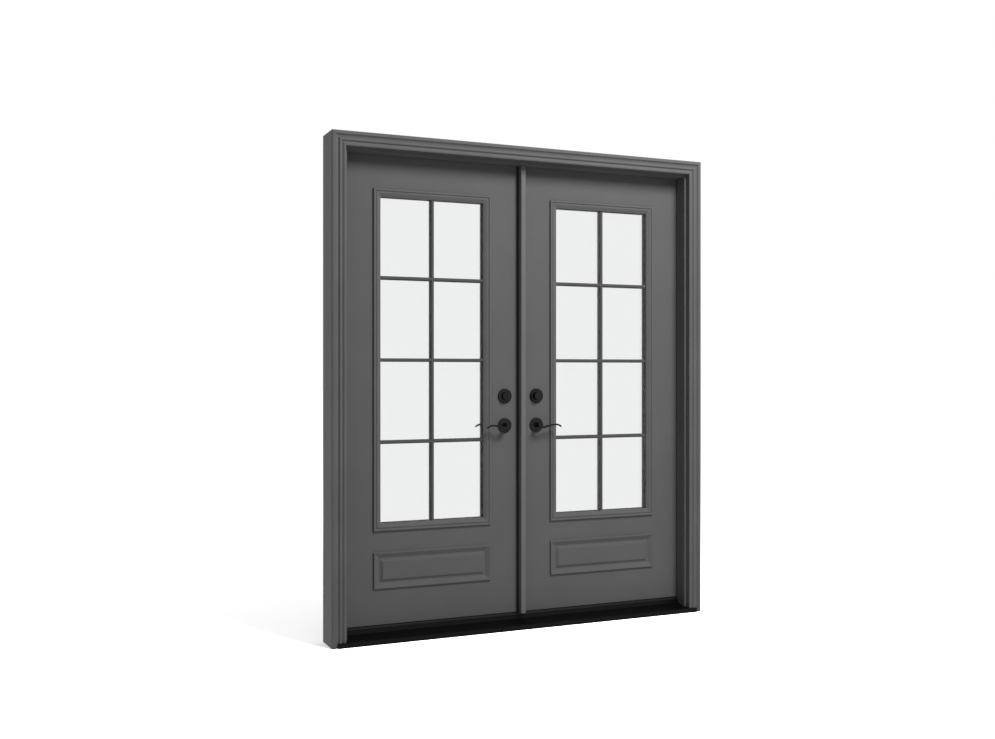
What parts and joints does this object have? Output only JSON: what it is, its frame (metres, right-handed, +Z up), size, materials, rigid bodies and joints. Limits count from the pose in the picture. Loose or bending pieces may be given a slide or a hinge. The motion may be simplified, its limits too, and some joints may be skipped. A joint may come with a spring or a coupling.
{
  "type": "double garden door",
  "caption": "Inward-opening double garden door with glazed leaves over raised panels, in a moulded frame with sill, working levers, latch, deadbolt and shoot bolts.",
  "frame": {"origin": "middle of the sill's underside, on the centre line between the two leaves", "axes": "+Z up; +Y into the building; +X to the right as seen from outside"},
  "size_m": [1.77, 0.2035, 2.1075],
  "materials": {
    "astragal": "softwood with satin charcoal paint",
    "bars": "satin charcoal paint",
    "black_bolts": "satin steel",
    "cap": "dark composite",
    "casing": "moulded softwood with satin charcoal paint",
    "foam": "rigid foam",
    "glass": "clear float glass",
    "hardware": "satin black",
    "leaf_paint": "satin charcoal paint on pressed skins",
    "lite_paint": "satin charcoal paint on moulded frame",
    "seal": "matt black foam and rubber",
    "sill_bed": "moulded composite",
    "sill_metal": "satin black",
    "spacer": "mill finish",
    "steel": "plated steel",
    "timber": "softwood with satin charcoal paint",
    "timber_frame": "softwood with satin charcoal paint"
  },
  "bodies": {
    "frame": {"left_jamb": "timber_frame", "right_jamb": "timber_frame", "head_jamb": "timber_frame", "left_casing": "casing", "right_casing": "casing", "head_casing": "casing", "sill_base": "sill_bed", "sill_deck": "sill_metal", "threshold_cap": "cap", "frame_weatherstrip": "seal", "frame_hinge_plates": "hardware", "hinge_pins": "hardware", "frame_screws": "steel", "bolt_keepers": "hardware"},
    "left_leaf": {"left_outer_skin": "leaf_paint", "left_inner_skin": "leaf_paint", "left_hinge_stile": "timber", "left_lock_stile": "timber", "left_rails": "timber", "left_core": "foam", "left_outer_lite_frame": "lite_paint", "left_inner_lite_frame": "lite_paint", "left_panes": "glass", "left_spacer": "spacer", "left_grilles": "bars", "left_sweep": "seal", "left_hinge_plates": "hardware", "left_screws": "steel", "left_roses": "hardware", "left_lock_cases": "steel", "left_deadbolt_housing": "hardware", "left_thumbturn_plate": "hardware"},
    "right_leaf": {"right_outer_skin": "leaf_paint", "right_inner_skin": "leaf_paint", "right_hinge_stile": "timber", "right_lock_stile": "timber", "right_rails": "timber", "right_core": "foam", "right_outer_lite_frame": "lite_paint", "right_inner_lite_frame": "lite_paint", "right_panes": "glass", "right_spacer": "spacer", "right_grilles": "bars", "right_sweep": "seal", "right_hinge_plates": "hardware", "right_screws": "steel", "right_roses": "hardware", "right_dummy_cylinders": "hardware", "astragal": "astragal", "astragal_stem": "astragal", "astragal_seals": "seal", "strikes": "hardware"},
    "left_levers": {"left_levers": "hardware"},
    "left_latch": {"left_latch": "black_bolts"},
    "left_thumbturn": {"left_thumbturn": "hardware"},
    "left_deadbolt": {"left_deadbolt": "black_bolts"},
    "left_key_plug": {"left_key_plug": "steel"},
    "right_levers": {"right_levers": "hardware"},
    "upper_shoot_bolt": {"upper_shoot_bolt": "black_bolts"},
    "lower_shoot_bolt": {"lower_shoot_bolt": "black_bolts"}
  },
  "joints": [
    {"name": "left_leaf_swing", "type": "hinge", "parent": "frame", "child": "left_leaf", "pos_m": [-0.822, 0.0805, 1.05], "axis": [0, 0, 1], "range_deg": [0, 105]},
    {"name": "right_leaf_swing", "type": "hinge", "parent": "frame", "child": "right_leaf", "pos_m": [0.822, 0.0805, 1.05], "axis": [0, 0, -1], "range_deg": [0, 105]},
    {"name": "left_latch_slide", "type": "slide", "parent": "left_leaf", "child": "left_latch", "axis": [-1, 0, 0], "range_m": [0, 0.012], "stiffness_N_per_m": 1000, "springref_m": -0.012},
    {"name": "left_lever_turn", "type": "hinge", "parent": "left_leaf", "child": "left_levers", "pos_m": [-0.0775, 0.05025, 0.887], "axis": [0, -1, 0], "range_deg": [0, 45.1]},
    {"name": "left_deadbolt_slide", "type": "slide", "parent": "left_leaf", "child": "left_deadbolt", "axis": [1, 0, 0], "range_m": [0, 0.025]},
    {"name": "left_thumbturn_turn", "type": "hinge", "parent": "left_leaf", "child": "left_thumbturn", "pos_m": [-0.0775, 0.05025, 1.017], "axis": [0, 1, 0], "range_deg": [0, 90.1]},
    {"name": "left_key_plug_turn", "type": "hinge", "parent": "left_leaf", "child": "left_key_plug", "pos_m": [-0.0775, 0.028, 1.017], "axis": [0, 1, 0], "range_deg": [0, 90]},
    {"name": "right_lever_turn", "type": "hinge", "parent": "right_leaf", "child": "right_levers", "pos_m": [0.0775, 0.05025, 0.887], "axis": [0, 1, 0], "range_deg": [0, 45], "stiffness_Nm_per_rad": 1, "springref_deg": -34.38},
    {"name": "upper_bolt_slide", "type": "slide", "parent": "right_leaf", "child": "upper_shoot_bolt", "axis": [0, 0, 1], "range_m": [0, 0.018]},
    {"name": "lower_bolt_slide", "type": "slide", "parent": "right_leaf", "child": "lower_shoot_bolt", "axis": [0, 0, -1], "range_m": [0, 0.018]}
  ],
  "couplings": [
    {"joint": "left_lever_turn", "follows": "left_latch_slide", "rad_per_m": 65.45},
    {"joint": "left_thumbturn_turn", "follows": "left_deadbolt_slide", "rad_per_m": 62.832}
  ]
}
